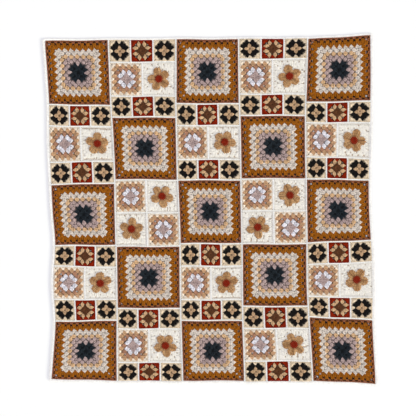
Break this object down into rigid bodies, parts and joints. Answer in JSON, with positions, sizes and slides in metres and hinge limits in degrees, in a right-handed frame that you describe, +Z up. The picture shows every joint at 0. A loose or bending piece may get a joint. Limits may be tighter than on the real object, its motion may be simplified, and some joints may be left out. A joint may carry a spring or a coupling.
{
  "type": "crochet blanket",
  "caption": "Patchwork throw of crocheted granny squares in three sizes with flower squares, joined by raised white seams inside a white border, lying flat.",
  "frame": {"origin": "centre of the blanket's footprint, on the surface it lies on", "axes": "+Z up from the surface, +Y towards the blanket's top edge as seen from above, +X to the right"},
  "size_m": [1.2092, 1.2692, 0.0065],
  "materials": {
    "large_granny_yarn": "soft brushed yarn",
    "medium_square_yarn": "soft brushed yarn",
    "small_square_yarn": "soft brushed yarn",
    "white_yarn": "soft brushed yarn"
  },
  "bodies": {
    "root": {"border": "white_yarn", "large_1_1": "large_granny_yarn", "large_1_5": "large_granny_yarn", "large_1_9": "large_granny_yarn", "large_2_4": "large_granny_yarn", "large_2_7": "large_granny_yarn", "large_3_1": "large_granny_yarn", "large_3_5": "large_granny_yarn", "large_3_9": "large_granny_yarn", "large_4_4": "large_granny_yarn", "large_4_7": "large_granny_yarn", "large_5_1": "large_granny_yarn", "large_5_5": "large_granny_yarn", "large_5_9": "large_granny_yarn", "pair_1_3": "medium_square_yarn", "pair_1_7": "medium_square_yarn", "pair_2_2": "medium_square_yarn", "pair_2_5": "medium_square_yarn", "pair_2_6": "medium_square_yarn", "pair_2_9": "medium_square_yarn", "pair_3_3": "medium_square_yarn", "pair_3_7": "medium_square_yarn", "pair_4_2": "medium_square_yarn", "pair_4_5": "medium_square_yarn", "pair_4_6": "medium_square_yarn", "pair_4_9": "medium_square_yarn", "pair_5_3": "medium_square_yarn", "pair_5_7": "medium_square_yarn", "seams": "white_yarn", "strip_1_2": "small_square_yarn", "strip_1_4": "small_square_yarn", "strip_1_6": "small_square_yarn", "strip_1_8": "small_square_yarn", "strip_2_1": "small_square_yarn", "strip_2_10": "small_square_yarn", "strip_2_3": "small_square_yarn", "strip_2_8": "small_square_yarn", "strip_3_2": "small_square_yarn", "strip_3_4": "small_square_yarn", "strip_3_6": "small_square_yarn", "strip_3_8": "small_square_yarn", "strip_4_1": "small_square_yarn", "strip_4_10": "small_square_yarn", "strip_4_3": "small_square_yarn", "strip_4_8": "small_square_yarn", "strip_5_2": "small_square_yarn", "strip_5_4": "small_square_yarn", "strip_5_6": "small_square_yarn", "strip_5_8": "small_square_yarn"}
  },
  "joints": []
}
